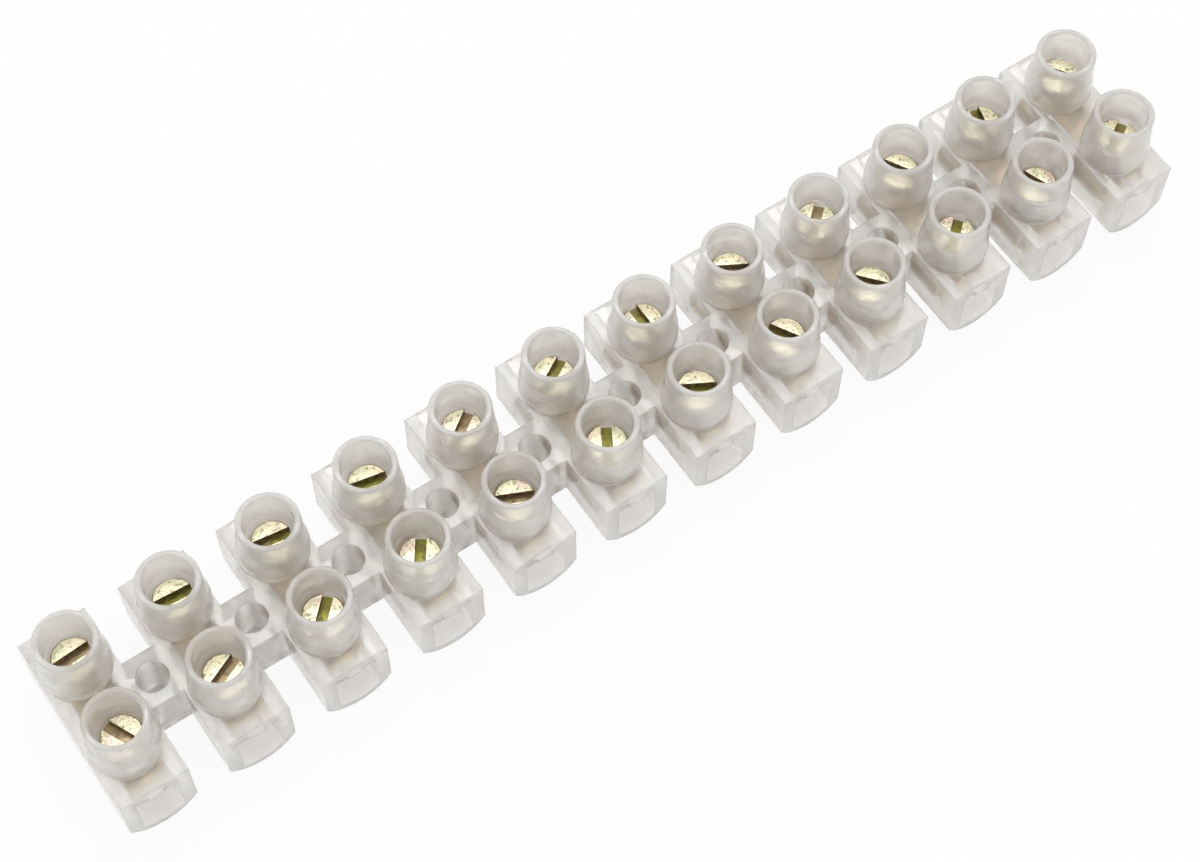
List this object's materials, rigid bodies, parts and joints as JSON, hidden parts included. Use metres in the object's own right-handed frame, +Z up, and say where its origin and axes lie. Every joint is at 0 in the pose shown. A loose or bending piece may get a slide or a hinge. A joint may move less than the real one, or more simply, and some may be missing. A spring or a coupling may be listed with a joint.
{
  "type": "pillar terminal strip",
  "caption": "Pillar-type screw terminal strip: a row of joined translucent plastic blocks, each with a brass tube insert and slotted clamping screws down round towers.",
  "frame": {"origin": "under the middle of the strip, level with the lowest line of the rounded bellies", "axes": "+X along the strip, +Y across it towards the rear wire entries, +Z up along the screws"},
  "size_m": [0.14, 0.022, 0.0162],
  "materials": {
    "housing": "translucent natural, soft sheen",
    "insert": "drawn tube, bare",
    "screw": "yellow passivated zinc"
  },
  "bodies": {
    "strip": {"housing": "housing", "insert_01": "insert", "insert_02": "insert", "insert_03": "insert", "insert_04": "insert", "insert_05": "insert", "insert_06": "insert", "insert_07": "insert", "insert_08": "insert", "insert_09": "insert", "insert_10": "insert", "insert_11": "insert", "insert_12": "insert"},
    "screw_front_01": {"screw_front_01": "screw"},
    "screw_front_02": {"screw_front_02": "screw"},
    "screw_front_03": {"screw_front_03": "screw"},
    "screw_front_04": {"screw_front_04": "screw"},
    "screw_front_05": {"screw_front_05": "screw"},
    "screw_front_06": {"screw_front_06": "screw"},
    "screw_front_07": {"screw_front_07": "screw"},
    "screw_front_08": {"screw_front_08": "screw"},
    "screw_front_09": {"screw_front_09": "screw"},
    "screw_front_10": {"screw_front_10": "screw"},
    "screw_front_11": {"screw_front_11": "screw"},
    "screw_front_12": {"screw_front_12": "screw"},
    "screw_rear_01": {"screw_rear_01": "screw"},
    "screw_rear_02": {"screw_rear_02": "screw"},
    "screw_rear_03": {"screw_rear_03": "screw"},
    "screw_rear_04": {"screw_rear_04": "screw"},
    "screw_rear_05": {"screw_rear_05": "screw"},
    "screw_rear_06": {"screw_rear_06": "screw"},
    "screw_rear_07": {"screw_rear_07": "screw"},
    "screw_rear_08": {"screw_rear_08": "screw"},
    "screw_rear_09": {"screw_rear_09": "screw"},
    "screw_rear_10": {"screw_rear_10": "screw"},
    "screw_rear_11": {"screw_rear_11": "screw"},
    "screw_rear_12": {"screw_rear_12": "screw"}
  },
  "joints": [
    {"name": "drive_front_01", "type": "slide", "parent": "strip", "child": "screw_front_01", "axis": [0, 0, 1], "range_m": [-0.0028, 0.0006]},
    {"name": "drive_front_02", "type": "slide", "parent": "strip", "child": "screw_front_02", "axis": [0, 0, 1], "range_m": [-0.0028, 0.0006]},
    {"name": "drive_front_03", "type": "slide", "parent": "strip", "child": "screw_front_03", "axis": [0, 0, 1], "range_m": [-0.0028, 0.0006]},
    {"name": "drive_front_04", "type": "slide", "parent": "strip", "child": "screw_front_04", "axis": [0, 0, 1], "range_m": [-0.0028, 0.0006]},
    {"name": "drive_front_05", "type": "slide", "parent": "strip", "child": "screw_front_05", "axis": [0, 0, 1], "range_m": [-0.0028, 0.0006]},
    {"name": "drive_front_06", "type": "slide", "parent": "strip", "child": "screw_front_06", "axis": [0, 0, 1], "range_m": [-0.0028, 0.0006]},
    {"name": "drive_front_07", "type": "slide", "parent": "strip", "child": "screw_front_07", "axis": [0, 0, 1], "range_m": [-0.0028, 0.0006]},
    {"name": "drive_front_08", "type": "slide", "parent": "strip", "child": "screw_front_08", "axis": [0, 0, 1], "range_m": [-0.0028, 0.0006]},
    {"name": "drive_front_09", "type": "slide", "parent": "strip", "child": "screw_front_09", "axis": [0, 0, 1], "range_m": [-0.0028, 0.0006]},
    {"name": "drive_front_10", "type": "slide", "parent": "strip", "child": "screw_front_10", "axis": [0, 0, 1], "range_m": [-0.0028, 0.0006]},
    {"name": "drive_front_11", "type": "slide", "parent": "strip", "child": "screw_front_11", "axis": [0, 0, 1], "range_m": [-0.0028, 0.0006]},
    {"name": "drive_front_12", "type": "slide", "parent": "strip", "child": "screw_front_12", "axis": [0, 0, 1], "range_m": [-0.0028, 0.0006]},
    {"name": "drive_rear_01", "type": "slide", "parent": "strip", "child": "screw_rear_01", "axis": [0, 0, 1], "range_m": [-0.0028, 0.0006]},
    {"name": "drive_rear_02", "type": "slide", "parent": "strip", "child": "screw_rear_02", "axis": [0, 0, 1], "range_m": [-0.0028, 0.0006]},
    {"name": "drive_rear_03", "type": "slide", "parent": "strip", "child": "screw_rear_03", "axis": [0, 0, 1], "range_m": [-0.0028, 0.0006]},
    {"name": "drive_rear_04", "type": "slide", "parent": "strip", "child": "screw_rear_04", "axis": [0, 0, 1], "range_m": [-0.0028, 0.0006]},
    {"name": "drive_rear_05", "type": "slide", "parent": "strip", "child": "screw_rear_05", "axis": [0, 0, 1], "range_m": [-0.0028, 0.0006]},
    {"name": "drive_rear_06", "type": "slide", "parent": "strip", "child": "screw_rear_06", "axis": [0, 0, 1], "range_m": [-0.0028, 0.0006]},
    {"name": "drive_rear_07", "type": "slide", "parent": "strip", "child": "screw_rear_07", "axis": [0, 0, 1], "range_m": [-0.0028, 0.0006]},
    {"name": "drive_rear_08", "type": "slide", "parent": "strip", "child": "screw_rear_08", "axis": [0, 0, 1], "range_m": [-0.0028, 0.0006]},
    {"name": "drive_rear_09", "type": "slide", "parent": "strip", "child": "screw_rear_09", "axis": [0, 0, 1], "range_m": [-0.0028, 0.0006]},
    {"name": "drive_rear_10", "type": "slide", "parent": "strip", "child": "screw_rear_10", "axis": [0, 0, 1], "range_m": [-0.0028, 0.0006]},
    {"name": "drive_rear_11", "type": "slide", "parent": "strip", "child": "screw_rear_11", "axis": [0, 0, 1], "range_m": [-0.0028, 0.0006]},
    {"name": "drive_rear_12", "type": "slide", "parent": "strip", "child": "screw_rear_12", "axis": [0, 0, 1], "range_m": [-0.0028, 0.0006]}
  ]
}
